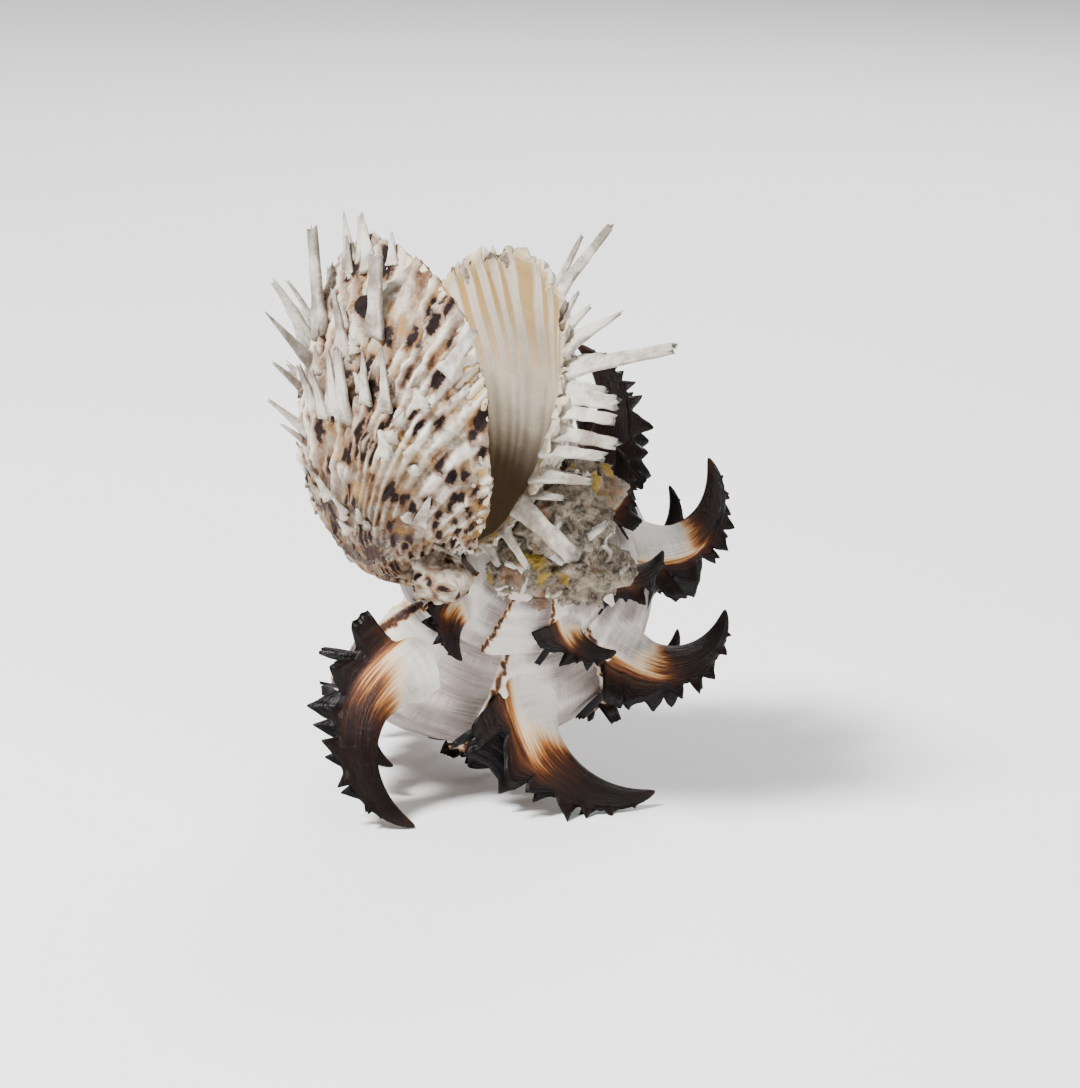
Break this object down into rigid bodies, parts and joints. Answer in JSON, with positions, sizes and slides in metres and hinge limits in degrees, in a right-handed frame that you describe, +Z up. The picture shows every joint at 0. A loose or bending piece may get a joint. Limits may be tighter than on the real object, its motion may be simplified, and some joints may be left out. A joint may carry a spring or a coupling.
{
  "type": "murex shell with a thorny oyster",
  "caption": "Murex shell with curled brown fronds, lying on its side, with an open spiny oyster grown on its spire.",
  "frame": {"origin": "middle of the base of the bounding box, on the surface the shell lies on", "axes": "+Z up as the shell lies, +X to the right as seen from the side the spire points to, +Y away from there"},
  "size_m": [0.0792, 0.1036, 0.1027],
  "materials": {
    "murex_shell": "porcelain white shell, fronds shading through tan to near black, soft gloss",
    "cemented_valve": "cream shell with tan flutes at the margin, satin",
    "free_valve": "off-white ribbed shell with dark brown spots, matt",
    "hinge_ligament": "amber brown, dry and horny",
    "marine_crust": "grey brown rubble of grit and shell bits, rough"
  },
  "bodies": {
    "root": {"murex_shell": "murex_shell", "cemented_valve": "cemented_valve", "free_valve": "free_valve", "hinge_ligament": "hinge_ligament", "marine_crust": "marine_crust"}
  },
  "joints": []
}
